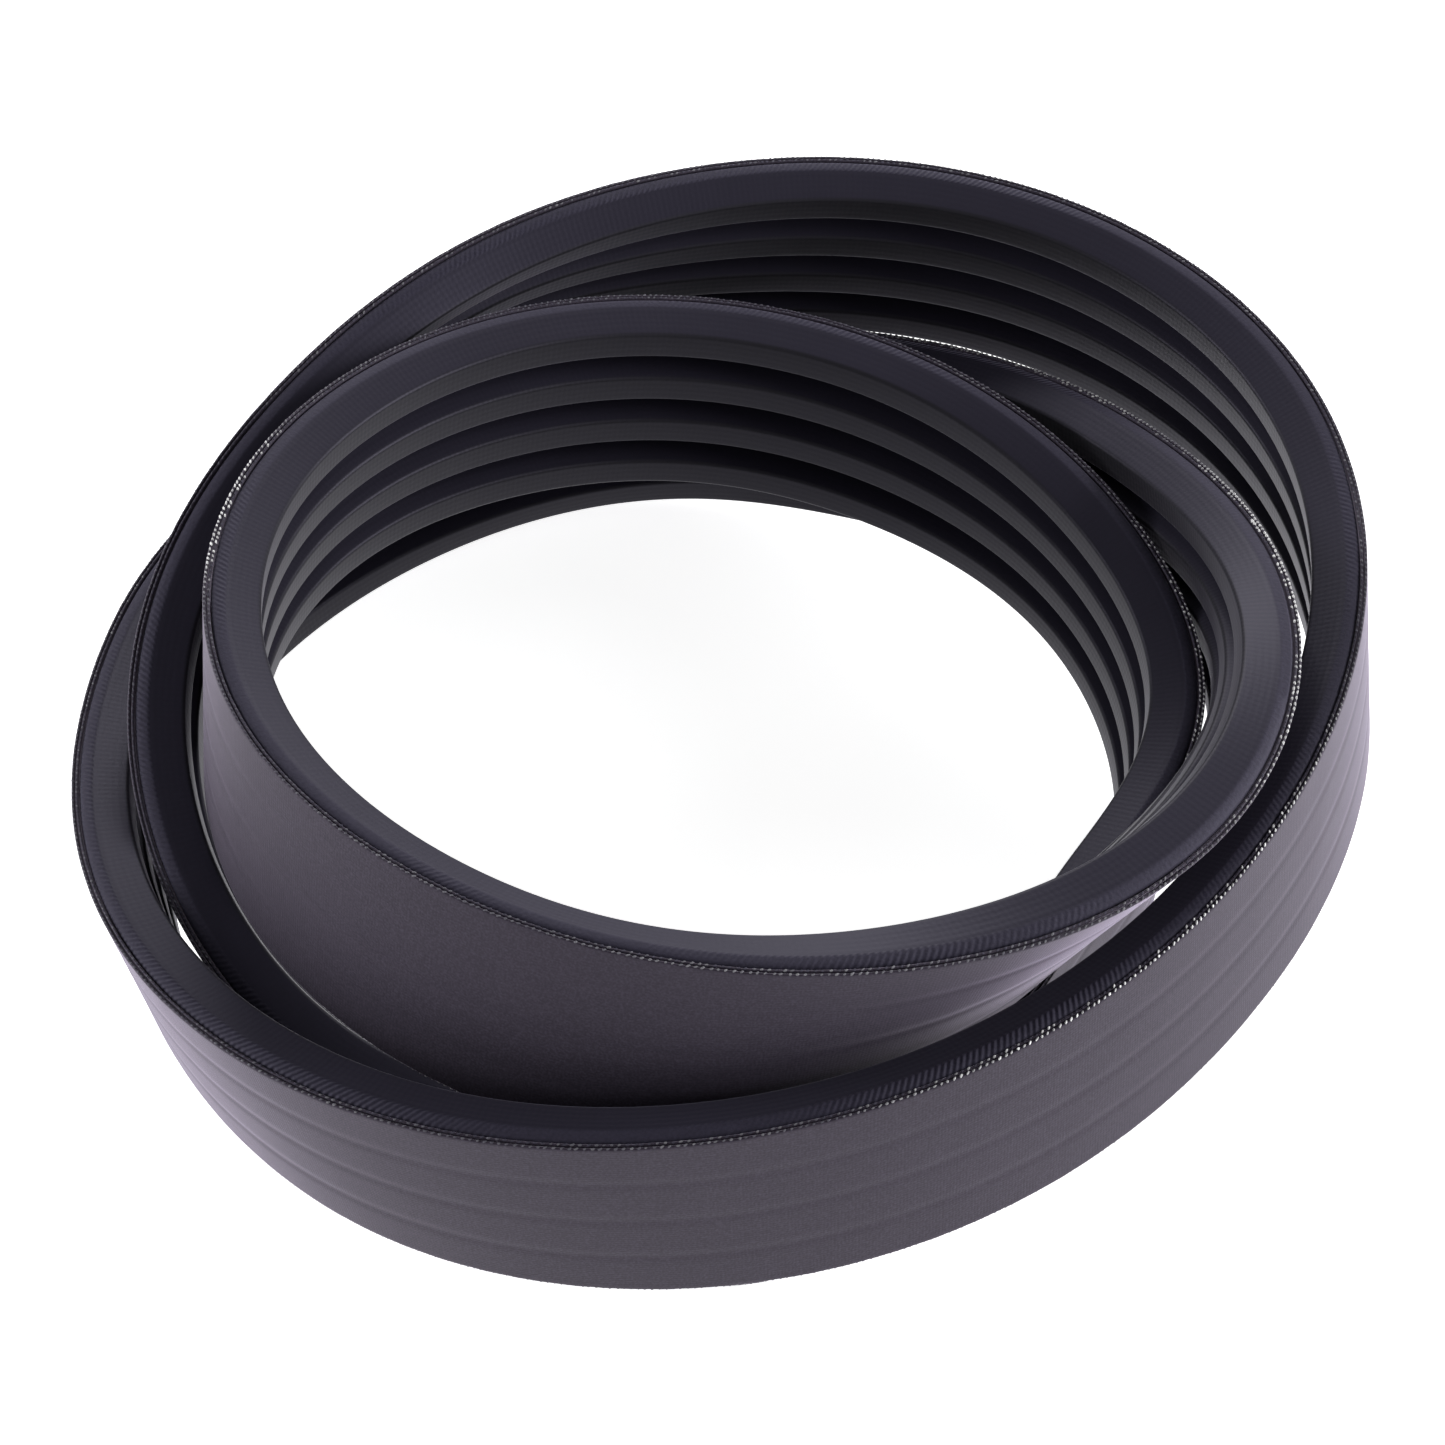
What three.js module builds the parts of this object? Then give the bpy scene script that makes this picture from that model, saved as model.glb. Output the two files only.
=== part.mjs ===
// A four-rib joined V-belt, endless and fabric-wrapped, coiled into three turns that stand on edge.
// The ribs face the middle of the coil and the flat back faces outward.
// Millimetres, +Z up. The origin is on the surface that the coil stands on, under its middle.
import * as THREE from "three";

// Belt section: narrow 5V (15J) ribs under one tie band.
const RIB_COUNT = 4;
const RIB_PITCH = 17.5;
const RIB_TOP_WIDTH = 15.9;
const RIB_TIP_WIDTH = 8.7;
const BELT_HEIGHT = 16.5; // from the flat back to the rib tips
const SHOULDER_DEPTH = 6.3; // the sides are square down to here, then they taper
const PLY_THICKNESS = 0.9;
const JACKET_THICKNESS = 0.9;
const CUSHION_THICKNESS = 1.6;
const CORD_LAYER_THICKNESS = 1.2;
const GAP = 0.3; // between pieces that touch on the real belt

// The coil. Each row is a guide value every 30 degrees, clockwise from the back (+Y):
// [radius, height] of the middle of the flat back, and its lean outward at the top in degrees.
const GUIDES_PER_TURN = 12;
const GUIDES = [
  // Outer turn, from the back: high there, and down to the surface at the left.
  [178, 103, -6], [213, 91, -2], [220, 85, -6], [201, 82, -12],
  [179, 73, -7], [176, 73, -6], [184, 73, -3], [194, 67, 3],
  [192, 55, 12], [188, 42, -1], [184, 32, 12], [168, 37, -4],
  // Second turn: over the third one at the right front, and raised inside the others after it.
  [166, 39, -4], [161, 44, 26], [170, 65, -4], [172, 95, -9],
  [159, 106, 32], [156, 107, 20], [164, 116, -10], [159, 121, -14],
  [155, 119, -8], [145, 115, -6], [136, 106, -5], [128, 95, 3],
  // Third turn: low at the front, and up over the outer one at the back left.
  [130, 83, 3], [136, 70, 5], [148, 57, -4], [155, 36, 9],
  [131, 34, -7], [147, 35, 12], [169, 36, -16], [154, 34, 37],
  [170, 43, 14], [171, 73, 3], [155, 102, -11], [168, 115, -33],
];
const STATIONS_PER_GUIDE = 2;
const TWISTED_STATIONS_PER_GUIDE = 3;
const FAST_TWIST = 18; // degrees of lean gained or lost from one guide to the next
const UP = new THREE.Vector3(0, 0, 1);

// A closed cubic B-spline through the guide values, so that the belt bends without kinks.
function guideAt(position) {
  const first = Math.floor(position);
  const t = position - first;
  const weights = [
    (1 - t) ** 3 / 6,
    (3 * t ** 3 - 6 * t ** 2 + 4) / 6,
    (-3 * t ** 3 + 3 * t ** 2 + 3 * t + 1) / 6,
    t ** 3 / 6,
  ];
  const count = GUIDES.length;
  const values = [0, 0, 0];
  weights.forEach((weight, i) => {
    const row = GUIDES[(first - 1 + i + count) % count];
    row.forEach((value, column) => (values[column] += weight * value));
  });
  return values;
}

// The middle of the flat back, and the directions across the belt and out of its back.
function stationAt(position) {
  const pointAt = (where) => {
    const [radius, height] = guideAt(where);
    const angle = Math.PI / 2 - (2 * Math.PI * where) / GUIDES_PER_TURN;
    return new THREE.Vector3(radius * Math.cos(angle), radius * Math.sin(angle), height);
  };
  const step = 0.01;
  const along = pointAt(position + step).sub(pointAt(position - step)).normalize();
  const upright = UP.clone().addScaledVector(along, -along.z).normalize();
  const outward = upright.clone().cross(along);
  const lean = THREE.MathUtils.degToRad(guideAt(position)[2]);
  const across = upright.clone().multiplyScalar(Math.cos(lean)).addScaledVector(outward, Math.sin(lean));
  const back = outward.clone().multiplyScalar(Math.cos(lean)).addScaledVector(upright, -Math.sin(lean));
  return { middle: pointAt(position), across, back };
}

// The stations where the section is placed, closer together where the belt twists.
const ROUTE = GUIDES.flatMap((_, row) => {
  const twist = Math.abs(guideAt(row + 1)[2] - guideAt(row)[2]);
  const count = twist > FAST_TWIST ? TWISTED_STATIONS_PER_GUIDE : STATIONS_PER_GUIDE;
  return Array.from({ length: count }, (_, i) => stationAt(row + i / count));
});

// Sweeps a closed outline of [across, depth] points once round the whole belt.
// Depth is measured inward from the flat back.
function sweep(outline) {
  const positions = [];
  for (const { middle, across, back } of ROUTE) {
    for (const [side, depth] of outline) {
      const point = middle.clone().addScaledVector(across, side).addScaledVector(back, -depth);
      positions.push(...point.toArray());
    }
  }
  const corners = outline.length;
  const indices = [];
  for (let station = 0; station < ROUTE.length; station += 1) {
    const here = station * corners;
    const next = ((station + 1) % ROUTE.length) * corners;
    for (let corner = 0; corner < corners; corner += 1) {
      const other = (corner + 1) % corners;
      const quad = [here + corner, here + other, next + other, next + corner];
      // Faces that look at each other are split along the same diagonal, so twisted layers stay apart.
      const turn = outline[other][0] > outline[corner][0] ? 0 : 1;
      const [a, b, c, d] = [0, 1, 2, 3].map((k) => quad[(k + turn) % 4]);
      indices.push(a, b, c, a, c, d);
    }
  }
  const geometry = new THREE.BufferGeometry();
  geometry.setAttribute("position", new THREE.Float32BufferAttribute(positions, 3));
  geometry.setIndex(indices);
  geometry.computeVertexNormals();
  return geometry;
}

const FLANK_ANGLE = Math.atan2((RIB_TOP_WIDTH - RIB_TIP_WIDTH) / 2, BELT_HEIGHT - SHOULDER_DEPTH);
const INNER_PLY_DEPTH = PLY_THICKNESS + GAP;
const RIB_TOP_DEPTH = INNER_PLY_DEPTH + PLY_THICKNESS + GAP;
const CORD_DEPTH = RIB_TOP_DEPTH + CUSHION_THICKNESS + GAP;
const CORE_DEPTH = CORD_DEPTH + CORD_LAYER_THICKNESS + GAP;
const JACKET_FLOOR_DEPTH = BELT_HEIGHT - JACKET_THICKNESS;
const BAND_HALF_WIDTH = ((RIB_COUNT - 1) * RIB_PITCH + RIB_TOP_WIDTH) / 2;

const WRAP_FABRIC = { color: 0x3c3a45, roughness: 0.62, metalness: 0 };
const BACK_FABRIC = { color: 0x5b5661, roughness: 0.7, metalness: 0 };
const CUSHION_RUBBER = { color: 0x1a1a1c, roughness: 0.8, metalness: 0 };
const POLYESTER_CORD = { color: 0xcbbf9f, roughness: 0.85, metalness: 0 };
const CORE_RUBBER = { color: 0x232326, roughness: 0.75, metalness: 0 };

const belt = new THREE.Group();

function addPiece(name, outline, finish) {
  const piece = new THREE.Mesh(sweep(outline), new THREE.MeshStandardMaterial(finish));
  piece.name = name;
  belt.add(piece);
}

// Half the width of a rib at a depth: square sides down to the shoulder, then tapered flanks.
function ribHalfWidth(depth) {
  const taper = Math.max(depth - SHOULDER_DEPTH, 0) * Math.tan(FLANK_ANGLE);
  return RIB_TOP_WIDTH / 2 - taper;
}

// A ply of the tie band, with corners between the ribs too, so that it twists as they do.
function plyOutline(top) {
  const sides = [-BAND_HALF_WIDTH, -RIB_PITCH, 0, RIB_PITCH, BAND_HALF_WIDTH];
  const bottom = top + PLY_THICKNESS;
  return [...sides.map((side) => [side, top]), ...sides.toReversed().map((side) => [side, bottom])];
}

// A layer inside one rib, with its middle at `centre` across the belt.
function layer(centre, halfWidth, top, bottom, bottomHalfWidth = halfWidth) {
  return [
    [centre - halfWidth, top],
    [centre + halfWidth, top],
    [centre + bottomHalfWidth, bottom],
    [centre - bottomHalfWidth, bottom],
  ];
}

// The tie band: two fabric plies across all the ribs.
addPiece("tie_band_outer_ply", plyOutline(0), BACK_FABRIC);
addPiece("tie_band_inner_ply", plyOutline(INNER_PLY_DEPTH), BACK_FABRIC);

// The wrapped fabric of a rib: a trough round its sides and tip, open towards the tie band.
function jacketOutline(centre) {
  const wall = JACKET_THICKNESS / Math.cos(FLANK_ANGLE);
  const outside = [RIB_TOP_DEPTH, SHOULDER_DEPTH, BELT_HEIGHT].map((depth) => [ribHalfWidth(depth), depth]);
  const inside = [RIB_TOP_DEPTH, SHOULDER_DEPTH, JACKET_FLOOR_DEPTH].map((depth) => [
    ribHalfWidth(depth) - wall,
    depth,
  ]);
  const right = ([side, depth]) => [centre + side, depth];
  const left = ([side, depth]) => [centre - side, depth];
  return [
    ...outside.map(right),
    ...outside.toReversed().map(left),
    ...inside.map(left),
    ...inside.toReversed().map(right),
  ];
}

for (let rib = 0; rib < RIB_COUNT; rib += 1) {
  const centre = ((RIB_COUNT - 1) / 2 - rib) * RIB_PITCH;
  const number = rib + 1;
  const clearance = (JACKET_THICKNESS + GAP) / Math.cos(FLANK_ANGLE);
  const insideHalfWidth = (depth) => ribHalfWidth(depth) - clearance;
  const coreBottom = JACKET_FLOOR_DEPTH - GAP;

  addPiece(`rib_jacket_${number}`, jacketOutline(centre), WRAP_FABRIC);
  addPiece(
    `cushion_rubber_${number}`,
    layer(centre, insideHalfWidth(RIB_TOP_DEPTH), RIB_TOP_DEPTH, RIB_TOP_DEPTH + CUSHION_THICKNESS),
    CUSHION_RUBBER,
  );
  addPiece(
    `tension_cords_${number}`,
    layer(centre, insideHalfWidth(CORD_DEPTH), CORD_DEPTH, CORD_DEPTH + CORD_LAYER_THICKNESS),
    POLYESTER_CORD,
  );
  addPiece(
    `compression_core_${number}`,
    layer(centre, insideHalfWidth(CORE_DEPTH), CORE_DEPTH, coreBottom, insideHalfWidth(coreBottom)),
    CORE_RUBBER,
  );
}

// Stand the coil on z = 0 with its middle over the origin.
const extent = new THREE.Box3().setFromObject(belt);
const middle = extent.getCenter(new THREE.Vector3());
belt.position.set(-middle.x, -middle.y, -extent.min.z);

export default belt;
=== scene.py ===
"""A four-rib joined V-belt, wrapped in fabric and coiled into three turns that stand on edge."""
import math

import bpy
import numpy as np
from mathutils import Matrix, Vector


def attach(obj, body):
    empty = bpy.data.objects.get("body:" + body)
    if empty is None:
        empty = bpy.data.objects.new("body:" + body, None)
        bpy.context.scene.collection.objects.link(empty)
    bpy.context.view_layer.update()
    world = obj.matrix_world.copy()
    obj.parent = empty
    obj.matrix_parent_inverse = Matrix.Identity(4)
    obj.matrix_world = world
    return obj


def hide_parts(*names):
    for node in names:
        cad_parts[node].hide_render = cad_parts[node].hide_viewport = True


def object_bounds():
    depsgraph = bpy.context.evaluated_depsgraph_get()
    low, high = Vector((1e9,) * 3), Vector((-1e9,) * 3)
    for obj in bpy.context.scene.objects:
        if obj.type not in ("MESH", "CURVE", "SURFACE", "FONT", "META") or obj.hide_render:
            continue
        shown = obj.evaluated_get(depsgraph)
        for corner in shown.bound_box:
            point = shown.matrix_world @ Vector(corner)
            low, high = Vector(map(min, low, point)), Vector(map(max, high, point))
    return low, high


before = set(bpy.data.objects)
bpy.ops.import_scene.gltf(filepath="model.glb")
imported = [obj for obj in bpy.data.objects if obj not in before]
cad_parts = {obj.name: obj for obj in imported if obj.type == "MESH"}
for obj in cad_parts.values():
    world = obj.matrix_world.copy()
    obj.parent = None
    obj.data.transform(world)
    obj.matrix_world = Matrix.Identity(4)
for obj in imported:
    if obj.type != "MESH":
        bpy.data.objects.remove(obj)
CAD_LOW, CAD_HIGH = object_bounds()

MM = 0.001

# Belt section, as in the CAD: depth is measured inward from the flat back.
RIB_COUNT = 4
RIB_PITCH = 17.5 * MM
RIB_TOP_WIDTH = 15.9 * MM
RIB_TIP_WIDTH = 8.7 * MM
BELT_HEIGHT = 16.5 * MM
SHOULDER_DEPTH = 6.3 * MM
PLY_THICKNESS = 0.9 * MM
JACKET_THICKNESS = 0.9 * MM
CUSHION_THICKNESS = 1.6 * MM
CORD_LAYER_THICKNESS = 1.2 * MM
GAP = 0.3 * MM

# The coil, as in the CAD: a guide row every 30 degrees, clockwise from the back (+Y), of the radius
# and height of the middle of the flat back in millimetres and its lean outward at the top in degrees.
# A B-spline smooths the rows, so the belt passes near them and not exactly through them.
GUIDES_PER_TURN = 12
GUIDES = np.array([
    # Outer turn, from the back: high there, and down to the floor at the left.
    [178, 103, -6], [213, 91, -2], [220, 85, -6], [201, 82, -12],
    [179, 73, -7], [176, 73, -6], [184, 73, -3], [194, 67, 3],
    [192, 55, 12], [188, 42, -1], [184, 32, 12], [168, 37, -4],
    # Second turn: over the third one at the right front, and raised inside the others after it.
    [166, 39, -4], [161, 44, 26], [170, 65, -4], [172, 95, -9],
    [159, 106, 32], [156, 107, 20], [164, 116, -10], [159, 121, -14],
    [155, 119, -8], [145, 115, -6], [136, 106, -5], [128, 95, 3],
    # Third turn: low at the front, and up over the outer one at the back left.
    [130, 83, 3], [136, 70, 5], [148, 57, -4], [155, 36, 9],
    [131, 34, -7], [147, 35, 12], [169, 36, -16], [154, 34, 37],
    [170, 43, 14], [171, 73, 3], [155, 102, -11], [168, 115, -33],
], dtype=float)
STATIONS_PER_GUIDE = 36
CREASE_ANGLE = math.radians(35)

# Thread ends and weave.
THREAD_SPACING = 2.0 * MM
THREAD_SIDES = 6

FLANK_ANGLE = math.atan2((RIB_TOP_WIDTH - RIB_TIP_WIDTH) / 2, BELT_HEIGHT - SHOULDER_DEPTH)
INNER_PLY_DEPTH = PLY_THICKNESS + GAP
RIB_TOP_DEPTH = INNER_PLY_DEPTH + PLY_THICKNESS + GAP
CORD_DEPTH = RIB_TOP_DEPTH + CUSHION_THICKNESS + GAP
CORE_DEPTH = CORD_DEPTH + CORD_LAYER_THICKNESS + GAP
JACKET_FLOOR_DEPTH = BELT_HEIGHT - JACKET_THICKNESS
BAND_HALF_WIDTH = ((RIB_COUNT - 1) * RIB_PITCH + RIB_TOP_WIDTH) / 2

rng = np.random.default_rng(31)


# ---- The route ----

def guide_at(position):
    """Radius, height and lean of the closed cubic B-spline that the guide rows steer."""
    first = np.floor(position).astype(int)
    t = position - first
    weights = [
        (1 - t) ** 3 / 6,
        (3 * t ** 3 - 6 * t ** 2 + 4) / 6,
        (-3 * t ** 3 + 3 * t ** 2 + 3 * t + 1) / 6,
        t ** 3 / 6,
    ]
    rows = [GUIDES[(first - 1 + i) % len(GUIDES)] for i in range(4)]
    return sum(weight[:, None] * row for weight, row in zip(weights, rows))


def middle_at(position):
    """The middle of the flat back, in metres."""
    radius, height, _ = guide_at(position).T
    angle = math.pi / 2 - 2 * math.pi * position / GUIDES_PER_TURN
    return np.stack([radius * np.cos(angle), radius * np.sin(angle), height], axis=1) * MM


def unit(vectors):
    return vectors / np.linalg.norm(vectors, axis=1, keepdims=True)


class Route:
    """Stations round the belt: its middle line and the directions along, across and out of its back."""

    def __init__(self):
        position = np.arange(len(GUIDES) * STATIONS_PER_GUIDE) / STATIONS_PER_GUIDE
        step = 0.01  # of a guide row, for the direction along the belt
        lean = np.radians(guide_at(position)[:, 2:3])
        self.middle = middle_at(position)
        self.along = unit(middle_at(position + step) - middle_at(position - step))
        up = np.array([0.0, 0.0, 1.0])
        upright = unit(up - self.along * self.along[:, 2:3])
        outward = np.cross(upright, self.along)
        self.across = np.cos(lean) * upright + np.sin(lean) * outward
        self.back = np.cos(lean) * outward - np.sin(lean) * upright
        steps = np.linalg.norm(np.roll(self.middle, -1, axis=0) - self.middle, axis=1)
        self.length = steps.sum()
        self.distance = np.concatenate([[0], np.cumsum(steps)[:-1]])
        self.stand_in_the_frame()

    def stand_in_the_frame(self):
        """Moves the coil to where the CAD has it: on the floor, with its box in the same place."""
        edges = np.concatenate([
            self.at(side, depth)
            for side in (-BAND_HALF_WIDTH, BAND_HALF_WIDTH)
            for depth in (0, SHOULDER_DEPTH)
        ])
        shift = (np.array(CAD_LOW) + np.array(CAD_HIGH) - edges.min(axis=0) - edges.max(axis=0)) / 2
        shift[2] = CAD_LOW[2] - edges[:, 2].min()
        self.middle += shift

    def at(self, side, depth):
        """The point of every station that is `side` across the belt and `depth` below its back."""
        return self.middle + self.across * side - self.back * depth

    def sample(self, distance):
        """Middle, along, across and back at distances along the belt."""
        known = np.concatenate([self.distance, [self.length]])
        result = []
        for field in (self.middle, self.along, self.across, self.back):
            closed = np.vstack([field, field[:1]])
            columns = [
                np.interp(distance % self.length, known, closed[:, axis]) for axis in range(3)
            ]
            result.append(np.stack(columns, axis=1))
        return result


route = Route()


# ---- Meshes ----

def add_mesh(name, points, quads, material, replaced=()):
    """A smooth piece of four-sided faces that rides on the root, in place of the CAD nodes named."""
    mesh = bpy.data.meshes.new(name)
    mesh.vertices.add(len(points))
    mesh.vertices.foreach_set("co", points.ravel())
    mesh.loops.add(quads.size)
    mesh.loops.foreach_set("vertex_index", quads.ravel())
    mesh.polygons.add(len(quads))
    mesh.polygons.foreach_set("loop_start", np.arange(len(quads)) * 4)
    mesh.polygons.foreach_set("loop_total", np.full(len(quads), 4))
    mesh.update(calc_edges=True)
    mesh.validate()
    mesh.shade_smooth()
    mesh.materials.append(material)
    piece = bpy.data.objects.new(name, mesh)
    bpy.context.scene.collection.objects.link(piece)
    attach(piece, "root")
    if replaced:
        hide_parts(*replaced)
    return piece


def add_loop_map(mesh, name, values):
    """A UV map with one pair of values for each loop."""
    layer = mesh.uv_layers.new(name=name)
    layer.data.foreach_set("uv", values.ravel())


def sweep(name, outline, material, relief=None):
    """Sweeps a closed outline of [side, depth] points round the belt, in place of the CAD node."""
    outline = np.array(outline)
    count, corners = len(route.middle), len(outline)
    side = np.repeat(outline[None, :, 0], count, axis=0)
    depth = np.repeat(outline[None, :, 1], count, axis=0)
    if relief:
        side_shift, depth_shift = relief(route.distance[:, None], side, depth)
        side = side + side_shift
        depth = depth + depth_shift
    points = (
        route.middle[:, None]
        + route.across[:, None] * side[..., None]
        - route.back[:, None] * depth[..., None]
    )
    station = np.arange(count)[:, None]
    corner = np.arange(corners)[None, :]
    after = (station + 1) % count
    beside = (corner + 1) % corners
    quads = np.stack([
        station * corners + corner,
        station * corners + beside,
        after * corners + beside,
        after * corners + corner,
    ], axis=-1).reshape(-1, 4)
    piece = add_mesh(f"{name}_cover", points.reshape(-1, 3), quads, material, [name])

    steps = np.linalg.norm(np.roll(outline, -1, axis=0) - outline, axis=1)
    round_section = np.concatenate([[0], np.cumsum(steps)])
    along = np.append(route.distance, route.length)
    i = np.repeat(np.arange(count), corners)
    j = np.tile(np.arange(corners), count)
    weave = np.stack([
        np.stack([along[i], round_section[j]], axis=-1),
        np.stack([along[i], round_section[j + 1]], axis=-1),
        np.stack([along[i + 1], round_section[j + 1]], axis=-1),
        np.stack([along[i + 1], round_section[j]], axis=-1),
    ], axis=1)
    add_loop_map(piece.data, "weave", weave)
    section = outline[np.stack([j, (j + 1) % corners, (j + 1) % corners, j], axis=1)]
    add_loop_map(piece.data, "section", section)
    piece.data.set_sharp_from_angle(angle=CREASE_ANGLE)


def ripple(distance, wavelengths, seed):
    """A smooth wavy line between -1 and 1 that joins up after one lap of the belt."""
    phases = np.random.default_rng(seed).uniform(0, 2 * math.pi, len(wavelengths))
    laps = [max(1, round(route.length / wavelength)) for wavelength in wavelengths]
    waves = [
        np.sin(2 * math.pi * lap * distance / route.length + phase)
        for lap, phase in zip(laps, phases)
    ]
    return sum(waves) / len(waves)


# ---- Materials ----

class Shader:
    """A material with a Principled BSDF, and short calls that add and link its nodes."""

    def __init__(self, name, roughness, sheen=0.0, sheen_roughness=0.5, specular=0.5):
        self.material = bpy.data.materials.new(name)
        self.material.use_nodes = True
        self.tree = self.material.node_tree
        self.surface = self.tree.nodes["Principled BSDF"]
        self.surface.inputs["Roughness"].default_value = roughness
        self.surface.inputs["Sheen Weight"].default_value = sheen
        self.surface.inputs["Sheen Roughness"].default_value = sheen_roughness
        self.surface.inputs["Specular IOR Level"].default_value = specular

    def node(self, kind, **settings):
        """A new node with its settings."""
        made = self.tree.nodes.new(kind)
        for key, value in settings.items():
            setattr(made, key, value)
        return made

    def feed(self, socket, value):
        """Links a socket's input, or sets it when the value is a constant."""
        if isinstance(value, bpy.types.NodeSocket):
            self.tree.links.new(value, socket)
        else:
            socket.default_value = value

    def math(self, operation, *values):
        made = self.node("ShaderNodeMath", operation=operation)
        for socket, value in zip(made.inputs, values):
            self.feed(socket, value)
        return made.outputs[0]

    def uv(self, name):
        """The two numbers of a UV map."""
        made = self.node("ShaderNodeSeparateXYZ")
        self.feed(made.inputs[0], self.node("ShaderNodeUVMap", uv_map=name).outputs[0])
        return made.outputs[0], made.outputs[1]

    def noise(self, scale, detail=3.0):
        made = self.node("ShaderNodeTexNoise")
        self.feed(made.inputs["Vector"], self.node("ShaderNodeTexCoord").outputs["Object"])
        made.inputs["Scale"].default_value = scale
        made.inputs["Detail"].default_value = detail
        return made.outputs["Fac"]

    def ramp(self, value, *stops):
        """Maps a number through colour stops of (place, colour)."""
        made = self.node("ShaderNodeValToRGB")
        elements = made.color_ramp.elements
        while len(elements) < len(stops):
            elements.new(0.5)
        for element, (place, colour) in zip(elements, stops):
            element.position = place
            element.color = colour
        self.feed(made.inputs[0], value)
        return made.outputs["Color"]

    def between(self, value, low, high, start=0.0, end=1.0):
        """Maps a number from the range low..high to start..end, and clamps it."""
        made = self.node("ShaderNodeMapRange")
        for socket, number in zip(made.inputs, (value, low, high, start, end)):
            self.feed(socket, number)
        return made.outputs[0]

    def mix(self, factor, first, second):
        """A blend of two colours."""
        made = self.node("ShaderNodeMix", data_type="RGBA")
        self.feed(made.inputs["Factor"], factor)
        colours = [socket for socket in made.inputs if socket.type == "RGBA"]
        for socket, colour in zip(colours, (first, second)):
            self.feed(socket, colour)
        return [socket for socket in made.outputs if socket.type == "RGBA"][0]

    def tint_shine(self, tint):
        """Tints the light that the surface throws back at grazing angles."""
        for name in ("Sheen Tint", "Specular Tint"):
            self.surface.inputs[name].default_value = (*tint, 1)

    def colour(self, value):
        self.feed(self.surface.inputs["Base Color"], value)

    def glow(self, colour, strength):
        self.feed(self.surface.inputs["Emission Color"], colour)
        self.surface.inputs["Emission Strength"].default_value = strength

    def roughness(self, value):
        self.feed(self.surface.inputs["Roughness"], value)

    def bump(self, height, distance, strength=1.0):
        made = self.node("ShaderNodeBump")
        made.inputs["Strength"].default_value = strength
        made.inputs["Distance"].default_value = distance
        self.feed(made.inputs["Height"], height)
        self.feed(self.surface.inputs["Normal"], made.outputs[0])


def grey(level, tint=(1.0, 1.0, 1.0)):
    """A linear colour, with alpha, from an sRGB level of 0..255 and a tint."""
    value = level / 255
    linear = value / 12.92 if value <= 0.04045 else ((value + 0.055) / 1.055) ** 2.4
    return (*(linear * part for part in tint), 1)


# Tints of the rubbed ribs and of the back, and of the light that each throws back.
VIOLET = (1.0, 0.91, 1.45)
MAUVE = (1.0, 0.84, 1.22)
TIP_TINT = (1.0, 0.98, 1.06)
VIOLET_SHINE = (0.78, 0.73, 1.0)
MAUVE_SHINE = (0.88, 0.78, 1.0)


def weave_height(shader, spacing):
    """Bumps of a plain weave cut on the bias, with threads `spacing` apart along the belt."""
    along, across = shader.uv("weave")
    turns = 2 * math.pi / spacing
    waves = []
    for direction in ("ADD", "SUBTRACT"):
        bias = shader.math(direction, along, across)
        waves.append(shader.math("SINE", shader.math("MULTIPLY", bias, turns / 2)))
    return shader.math("MULTIPLY", *waves)


def back_fabric():
    """The flat back: fine cloth with a dry bloom that shows at grazing angles."""
    shader = Shader("back_fabric", roughness=0.62, sheen=0.75, sheen_roughness=0.25, specular=0.3)
    shader.tint_shine(MAUVE_SHINE)
    weave = weave_height(shader, THREAD_SPACING / 2)
    fibres = shader.noise(1400, detail=4)
    patches = shader.noise(12, detail=3)
    base = shader.mix(patches, grey(32, MAUVE), grey(44, MAUVE))
    worn = shader.between(fibres, 0.4, 0.75, 0.0, 0.25)
    shader.colour(shader.mix(worn, base, grey(88, MAUVE)))
    woven = shader.math("MULTIPLY", weave, 0.25)
    rough = shader.math("MULTIPLY", fibres, 0.8)
    height = shader.math("ADD", woven, rough)
    shader.bump(height, 0.08 * MM, 0.6)
    return shader.material


def wrap_fabric():
    """The ribs: a smooth rubbed flank, rougher cloth at the shoulder and a neutral grey tip."""
    shader = Shader("wrap_fabric", roughness=0.5, sheen=0.15, sheen_roughness=0.4, specular=0.25)
    shader.tint_shine(VIOLET_SHINE)
    along, _ = shader.uv("weave")
    _, depth = shader.uv("section")
    weave = weave_height(shader, THREAD_SPACING)
    fibres = shader.noise(1100, detail=4)
    patches = shader.noise(22, detail=3)
    shoulder_top = SHOULDER_DEPTH - 0.3 * MM
    shoulder_bottom = SHOULDER_DEPTH + 0.5 * MM
    shoulder = shader.between(depth, shoulder_top, shoulder_bottom, 1.0, 0.0)
    tip = shader.between(depth, BELT_HEIGHT - 1.2 * MM, BELT_HEIGHT - 0.3 * MM)
    flank = shader.mix(patches, grey(28, VIOLET), grey(36, VIOLET))
    cloth = shader.mix(fibres, grey(28, VIOLET), grey(58, VIOLET))
    sides = shader.mix(shader.math("MULTIPLY", shoulder, 0.7), flank, cloth)
    shader.colour(shader.mix(tip, sides, grey(25, TIP_TINT)))
    shader.roughness(shader.between(shoulder, 0.0, 1.0, 0.46, 0.66))
    slanted = shader.math("ADD", along, shader.math("MULTIPLY", depth, 0.7))
    pucker = shader.math("SINE", shader.math("MULTIPLY", slanted, 2 * math.pi / THREAD_SPACING))
    puckered = shader.between(shader.noise(9, detail=2), 0.45, 0.62)
    pucker = shader.math("MULTIPLY", shader.math("MULTIPLY", pucker, puckered), shoulder)
    rough = shader.math("MULTIPLY", fibres, shader.between(shoulder, 0.0, 1.0, 0.35, 1.0))
    woven = shader.math("MULTIPLY", weave, 0.15)
    height = shader.math("ADD", shader.math("ADD", rough, woven), pucker)
    shader.bump(height, 0.14 * MM, 0.8)
    return shader.material


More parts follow.
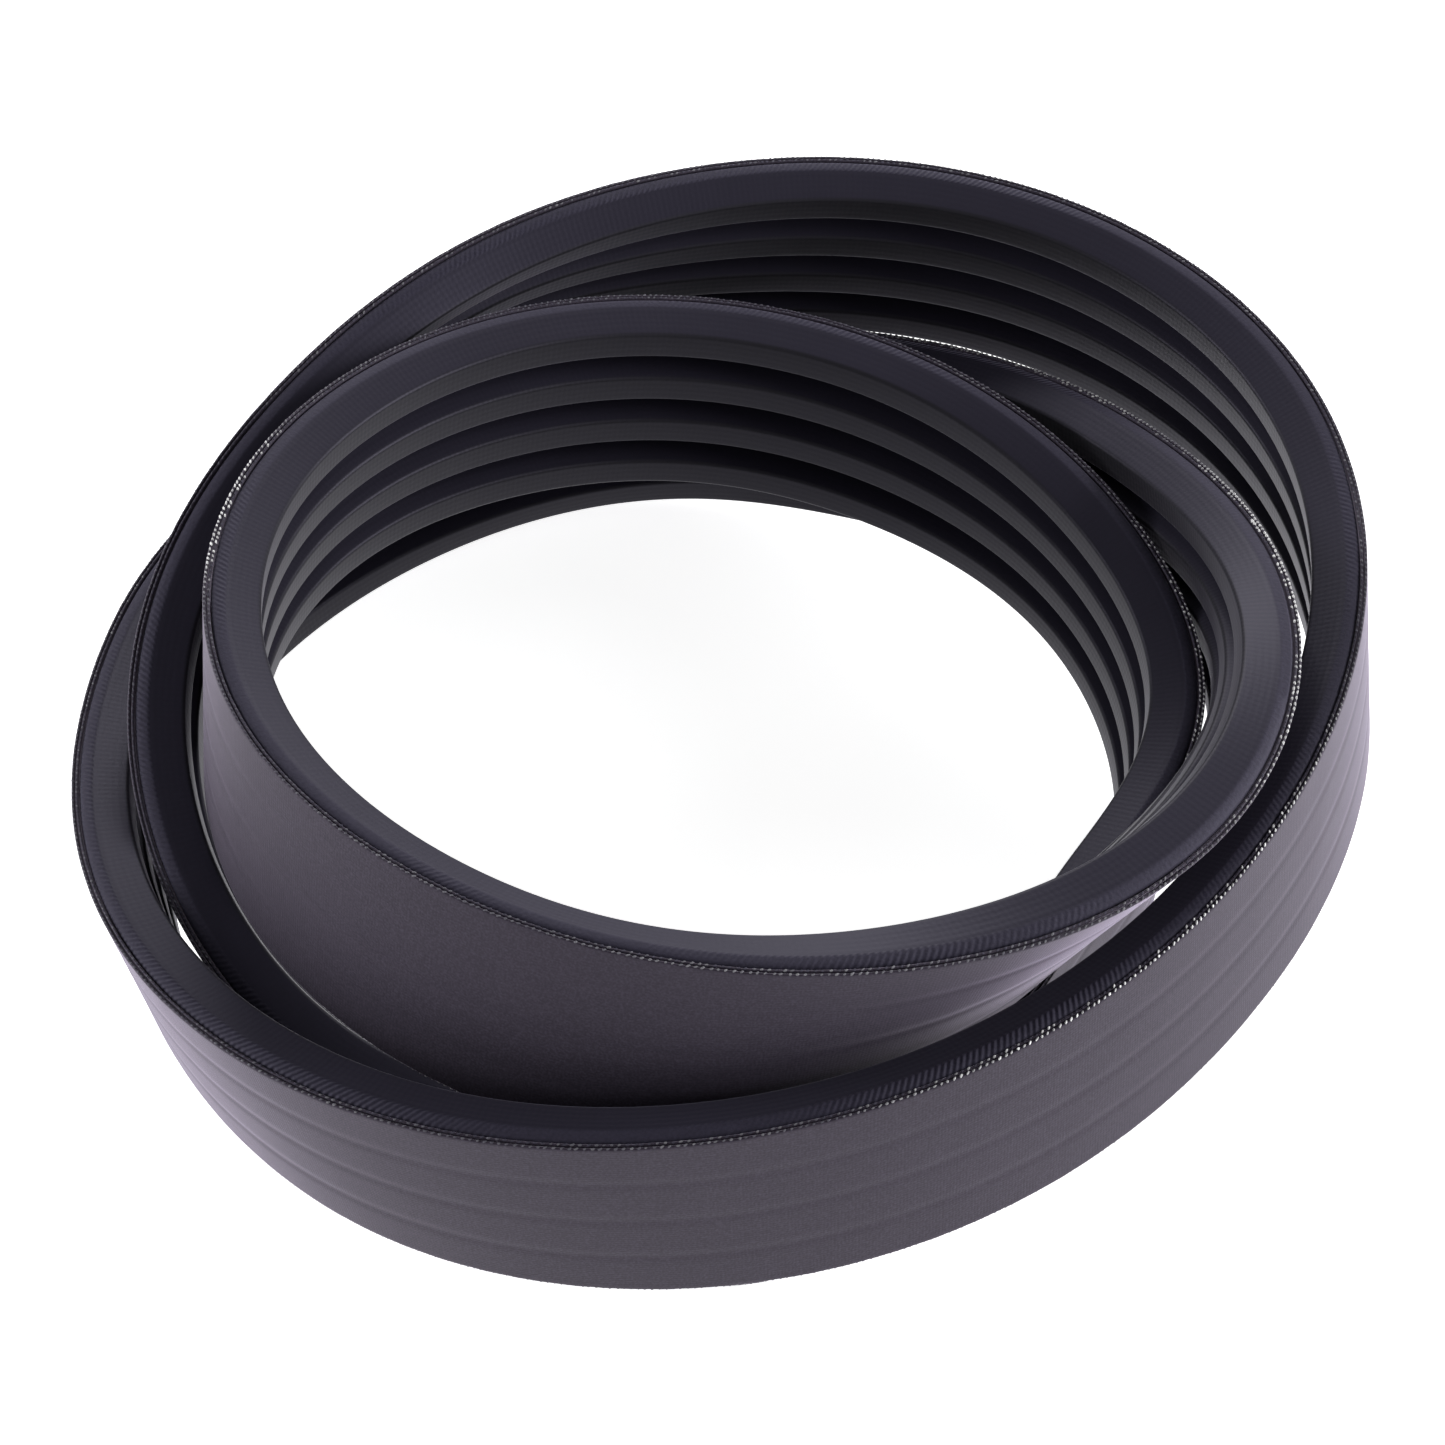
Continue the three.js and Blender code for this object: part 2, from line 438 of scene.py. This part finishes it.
def thread_ends():
    """Thread ends: as dark as the cloth where they are rubbed in, pale where they are frayed."""
    shader = Shader("thread_ends", roughness=0.85)
    paleness, _ = shader.uv("paleness")
    shader.colour(shader.ramp(paleness, (0.0, grey(58, VIOLET)), (1.0, grey(225))))
    shader.bump(shader.noise(2500, detail=2), 0.05 * MM, 0.5)
    return shader.material


def plain_rubber(name, level):
    """Matte rubber inside the ribs."""
    shader = Shader(name, roughness=0.7)
    shader.colour(shader.ramp(shader.noise(300), (0.3, grey(level - 6)), (0.7, grey(level + 6))))
    shader.bump(shader.noise(1500), 0.05 * MM, 0.4)
    return shader.material


def cord_fibre():
    """Twisted polyester cord."""
    shader = Shader("cord_fibre", roughness=0.85, sheen=0.2)
    straw = (1.0, 0.93, 0.75)
    shader.colour(shader.ramp(shader.noise(1200), (0.3, grey(180, straw)), (0.7, grey(215, straw))))
    along, across = shader.uv("weave")
    lengthwise = shader.math("MULTIPLY", along, 2000.0)
    sideways = shader.math("MULTIPLY", across, 4500.0)
    shader.bump(shader.math("SINE", shader.math("ADD", lengthwise, sideways)), 0.1 * MM, 0.6)
    return shader.material


# ---- The belt's pieces ----

def rib_half_width(depth):
    """Half the width of a rib at a depth: square sides to the shoulder, then tapered flanks."""
    return RIB_TOP_WIDTH / 2 - max(depth - SHOULDER_DEPTH, 0) * math.tan(FLANK_ANGLE)


def arc(centre, radius, start, end, points=5):
    """Points of an arc in the section, from angle start to end in degrees."""
    angles = np.radians(np.linspace(start, end, points))
    return [[centre[0] + radius * math.cos(a), centre[1] + radius * math.sin(a)] for a in angles]


def ply_outline(top):
    """A ply with rounded edges, with enough columns across its faces to carry the relief."""
    column_count = 71
    radius = PLY_THICKNESS / 2
    columns = np.linspace(-BAND_HALF_WIDTH + radius, BAND_HALF_WIDTH - radius, column_count)
    bottom = top + PLY_THICKNESS
    middle_depth = top + radius
    return (
        [[side, top] for side in columns]
        + arc((BAND_HALF_WIDTH - radius, middle_depth), radius, -60, 60)
        + [[side, bottom] for side in columns[::-1]]
        + arc((-BAND_HALF_WIDTH + radius, middle_depth), radius, 120, 240)
    )


def ply_relief(distance, side, depth):
    """Dips in the back over the gaps between ribs, and edges that aren't quite straight."""
    gap_dip = 0.16 * MM
    gap_half_width = 1.8 * MM
    dip = np.zeros_like(side)
    for gap_side in (-RIB_PITCH, 0, RIB_PITCH):
        dip += gap_dip * np.exp(-((side - gap_side) / gap_half_width) ** 2)
    unevenness = 0.05 * MM
    dip += unevenness * ripple(distance, [0.021, 0.034, 0.055], 3) * np.cos(side * 120)
    edge_strip = 1 * MM
    near_edge = np.clip(np.abs(side) - (BAND_HALF_WIDTH - edge_strip), 0, None) / edge_strip
    wander = 0.22 * MM * ripple(distance, [0.006, 0.0085, 0.013, 0.037], 5)
    return np.sign(side) * wander * near_edge, dip


def jacket_outline(centre):
    """The wrapped fabric of a rib: rounded shoulders and tip corners, open towards the tie band."""
    wall = JACKET_THICKNESS / math.cos(FLANK_ANGLE)
    half_width = rib_half_width(0)
    corner = 1.3 * MM
    tip_half_width = rib_half_width(BELT_HEIGHT)
    lean = math.degrees(FLANK_ANGLE)
    inset = corner * math.tan((math.pi / 2 - FLANK_ANGLE) / 2)
    tip_arc = arc((tip_half_width - inset, BELT_HEIGHT - corner), corner, lean, 90, 7)
    flank = [
        [rib_half_width(depth), depth]
        for depth in np.linspace(SHOULDER_DEPTH + 0.5 * MM, BELT_HEIGHT - 2 * corner, 6)
    ]
    shoulder = [
        [half_width - 1.0 * MM, RIB_TOP_DEPTH],
        [half_width - 0.45 * MM, RIB_TOP_DEPTH + 0.25 * MM],
        [half_width, RIB_TOP_DEPTH + 0.9 * MM],
        [half_width, SHOULDER_DEPTH - 0.5 * MM],
        [half_width - 0.05 * MM, SHOULDER_DEPTH],
    ]
    outside = shoulder + flank + tip_arc
    inside = [
        [rib_half_width(depth) - wall, depth]
        for depth in (RIB_TOP_DEPTH, SHOULDER_DEPTH, JACKET_FLOOR_DEPTH)
    ]
    right = [[centre + side, depth] for side, depth in outside]
    left = [[centre - side, depth] for side, depth in outside[::-1]]
    return (
        right
        + left
        + [[centre - side, depth] for side, depth in inside]
        + [[centre + side, depth] for side, depth in inside[::-1]]
    )


def layer_outline(centre, top, bottom):
    """A layer inside a jacket, clear of its walls."""
    clearance = (JACKET_THICKNESS + GAP) / math.cos(FLANK_ANGLE)
    depths = (top, SHOULDER_DEPTH, bottom) if top < SHOULDER_DEPTH < bottom else (top, bottom)
    right = [[centre + rib_half_width(depth) - clearance, depth] for depth in depths]
    left = [[centre - rib_half_width(depth) + clearance, depth] for depth in depths]
    return left[:1] + right + left[:0:-1]


# Where the thread ends are pale and frayed: guide row at the middle, half length in rows, strength.
FRAYED_TOP = [
    (5.3, 1.1, 0.9),
    (15.0, 0.7, 0.5),
    (16.8, 0.9, 1.0),
    (22.4, 0.4, 1.0),
    (27.3, 0.9, 0.55),
]
FRAYED_BOTTOM = [(19.6, 1.2, 0.6), (7.0, 0.6, 0.4)]

# Rings of a thread end: how far out each is, as a part of the thread's reach, and its width.
THREAD_RINGS = ((-0.6, 1.0), (0.3, 1.0), (0.75, 0.8), (1.0, 0.1))

# Sizes of a thread end before the random differences, in millimetres.
RUBBED_REACH = 0.12
FRAYED_REACH = 0.4
THREAD_HALF_LENGTH = 0.5
THREAD_HALF_WIDTH = 0.3


def fraying(distance, stretches):
    """How frayed the edge is at distances along the belt, from 0 to 1."""
    row = distance / route.length * len(GUIDES)
    frayed = 0.10 + 0.10 * ripple(distance, [0.9, 0.37, 0.11], 11)
    for middle_row, half_length, strength in stretches:
        frayed = np.maximum(frayed, strength * np.exp(-((row - middle_row) / half_length) ** 4))
    return frayed


def thread_end_points(edge, ply_depth, distance, frayed):
    """Rings of points for the thread ends at distances along one edge of a ply."""
    count = len(distance)
    middle, along, across, back = route.sample(distance)
    reach = (RUBBED_REACH + FRAYED_REACH * frayed + rng.uniform(0, 0.1, count)) * MM
    half_length = (THREAD_HALF_LENGTH + rng.uniform(-0.1, 0.12, count)) * MM
    half_width = (THREAD_HALF_WIDTH + rng.uniform(-0.05, 0.08, count)) * MM
    slant = rng.uniform(0.1, 0.5, count)[:, None]
    long_way = along + back * slant
    drift = rng.normal(0, 0.3, count)[:, None] * MM
    points = []
    for reach_part, width_part in THREAD_RINGS:
        bend = max(reach_part, 0) ** 2
        centre = (
            middle
            + across * edge * (BAND_HALF_WIDTH + reach * reach_part)[:, None]
            - back * ply_depth
            + along * drift * bend * frayed[:, None]
        )
        for angle in np.arange(THREAD_SIDES) * 2 * math.pi / THREAD_SIDES:
            offset = (
                long_way * (half_length * math.cos(angle))[:, None]
                + back * (half_width * math.sin(angle))[:, None]
            )
            points.append(centre + offset * width_part)
    return np.stack(points, axis=1)


def thread_end_quads(edge):
    """The sides of one thread end, between its rings."""
    quads = np.array([
        [
            ring * THREAD_SIDES + k,
            ring * THREAD_SIDES + (k + 1) % THREAD_SIDES,
            (ring + 1) * THREAD_SIDES + (k + 1) % THREAD_SIDES,
            (ring + 1) * THREAD_SIDES + k,
        ]
        for ring in range(len(THREAD_RINGS) - 1)
        for k in range(THREAD_SIDES)
    ])
    return quads[:, ::-1] if edge > 0 else quads


def frayed_threads(name, edge, stretches, material):
    """Thread ends that stand out of both plies along one edge of the tie band, like stitches."""
    count = int(route.length / THREAD_SPACING)
    point_rows = []
    paleness_rows = []
    for ply, top in enumerate((0, INNER_PLY_DEPTH)):
        place = np.arange(count) + 0.5 * ply + rng.uniform(-0.12, 0.12, count)
        distance = place * route.length / count
        frayed = fraying(distance, stretches) * rng.uniform(0.5, 1.25, count)
        frayed = np.clip(frayed, 0, 1)
        if ply:
            frayed *= rng.uniform(0, 1, count) < 0.5
        point_rows.append(thread_end_points(edge, top + PLY_THICKNESS / 2, distance, frayed))
        paleness_rows.append(frayed)
    points = np.concatenate(point_rows)
    threads, points_per_thread = points.shape[:2]
    quads = thread_end_quads(edge)
    first_points = np.arange(threads)[:, None, None] * points_per_thread
    all_quads = (quads[None] + first_points).reshape(-1, 4)
    piece = add_mesh(name, points.reshape(-1, 3), all_quads, material)
    paleness = np.repeat(np.concatenate(paleness_rows), quads.size)
    add_loop_map(piece.data, "paleness", np.stack([paleness, paleness], axis=-1))


BACK = back_fabric()
WRAP = wrap_fabric()
THREADS = thread_ends()
CUSHION = plain_rubber("cushion_rubber", 40)
CORE = plain_rubber("core_rubber", 46)
CORD = cord_fibre()

sweep("tie_band_outer_ply", ply_outline(0), BACK, ply_relief)
sweep("tie_band_inner_ply", ply_outline(INNER_PLY_DEPTH), BACK, ply_relief)

CUSHION_BOTTOM = RIB_TOP_DEPTH + CUSHION_THICKNESS
CORD_BOTTOM = CORD_DEPTH + CORD_LAYER_THICKNESS
CORE_BOTTOM = JACKET_FLOOR_DEPTH - GAP
INSIDE_LAYERS = (
    ("cushion_rubber", RIB_TOP_DEPTH, CUSHION_BOTTOM, CUSHION, "cushion_rubber"),
    ("tension_cords", CORD_DEPTH, CORD_BOTTOM, CORD, "polyester_cord"),
    ("compression_core", CORE_DEPTH, CORE_BOTTOM, CORE, "core_rubber"),
)
for rib in range(RIB_COUNT):
    rib_side = ((RIB_COUNT - 1) / 2 - rib) * RIB_PITCH
    number = rib + 1
    sweep(f"rib_jacket_{number}", jacket_outline(rib_side), WRAP)
    for layer_name, top, bottom, material, slot in INSIDE_LAYERS:
        sweep(f"{layer_name}_{number}", layer_outline(rib_side, top, bottom), material)

frayed_threads("frayed_threads_top", 1, FRAYED_TOP, THREADS)
frayed_threads("frayed_threads_bottom", -1, FRAYED_BOTTOM, THREADS)


# ---- Floor, light and camera ----

COIL_MIDDLE = Vector((0, 0, 0.05))
FRAMING_SHIFT = 0.0415


def add_floor():
    """Near-white paper that glows a little, so that it stays white inside the coil."""
    shader = Shader("floor", roughness=0.9, specular=0.0)
    paper = shader.ramp(shader.noise(3), (0.3, (0.88, 0.88, 0.88, 1)), (0.7, (0.92, 0.92, 0.92, 1)))
    shader.colour(paper)
    shader.glow(paper, 0.95)
    size = 6.0
    clearance = 0.5 * MM
    corners = np.array([[-1, -1, 0], [1, -1, 0], [1, 1, 0], [-1, 1, 0]]) * size / 2
    mesh = bpy.data.meshes.new("floor")
    mesh.from_pydata([tuple(corner) for corner in corners], [], [(0, 1, 2, 3)])
    mesh.materials.append(shader.material)
    floor = bpy.data.objects.new("floor", mesh)
    floor.location.z = -clearance
    bpy.context.scene.collection.objects.link(floor)


def add_area_light(name, place, size, power):
    """A soft round light that points at the coil."""
    light = bpy.data.lights.new(name, "AREA")
    light.shape = "DISK"
    light.size = size
    light.energy = power
    lamp = bpy.data.objects.new(name, light)
    lamp.location = place
    lamp.rotation_mode = "QUATERNION"
    lamp.rotation_quaternion = (COIL_MIDDLE - Vector(place)).to_track_quat("-Z", "Y")
    bpy.context.scene.collection.objects.link(lamp)


def add_light():
    """White surroundings, dimmer overhead, with soft lights at the sides and behind."""
    world = bpy.data.worlds.new("studio")
    world.use_nodes = True
    tree = world.node_tree
    height = tree.nodes.new("ShaderNodeSeparateXYZ")
    tree.links.new(tree.nodes.new("ShaderNodeTexCoord").outputs["Generated"], height.inputs[0])
    sky = tree.nodes.new("ShaderNodeValToRGB")
    for stop, (place, level) in zip(sky.color_ramp.elements, ((0.1, 1.0), (0.8, 0.2))):
        stop.position = place
        stop.color = (level, level, level, 1)
    tree.links.new(height.outputs[2], sky.inputs[0])
    tree.links.new(sky.outputs[0], tree.nodes["Background"].inputs["Color"])
    bpy.context.scene.world = world
    bpy.context.scene.view_settings.view_transform = "Standard"
    add_area_light("left", (-1.3, 0.1, 0.5), 1.0, 15)
    add_area_light("right", (1.3, 0.1, 0.5), 1.0, 20)
    add_area_light("behind", (0, 1.4, 0.9), 0.9, 8)


def add_camera():
    """At the photograph's viewing angle: a long lens that looks down from the front."""
    elevation, azimuth, roll = (math.radians(angle) for angle in (50.5, -1.4, 1.0))
    target = Vector((-23.5, -5.0, 34.8)) * MM
    distance = 0.958
    forward = Vector((
        math.sin(azimuth) * math.cos(elevation),
        math.cos(azimuth) * math.cos(elevation),
        -math.sin(elevation),
    ))
    level = Vector((math.cos(azimuth), -math.sin(azimuth), 0))  # to the right before the roll
    up = level.cross(forward)
    right = level * math.cos(roll) - up * math.sin(roll)
    up = level * math.sin(roll) + up * math.cos(roll)
    lens = bpy.data.cameras.new("camera")
    lens.sensor_width = 36
    lens.lens = 75.6
    lens.shift_x = FRAMING_SHIFT
    lens.shift_y = FRAMING_SHIFT
    lens.clip_start = 0.05
    lens.clip_end = 50
    camera = bpy.data.objects.new("camera", lens)
    turn = Matrix((right, up, -forward)).transposed()
    camera.matrix_world = Matrix.Translation(target - forward * distance) @ turn.to_4x4()
    bpy.context.scene.collection.objects.link(camera)
    bpy.context.scene.camera = camera


add_floor()
add_light()
add_camera()
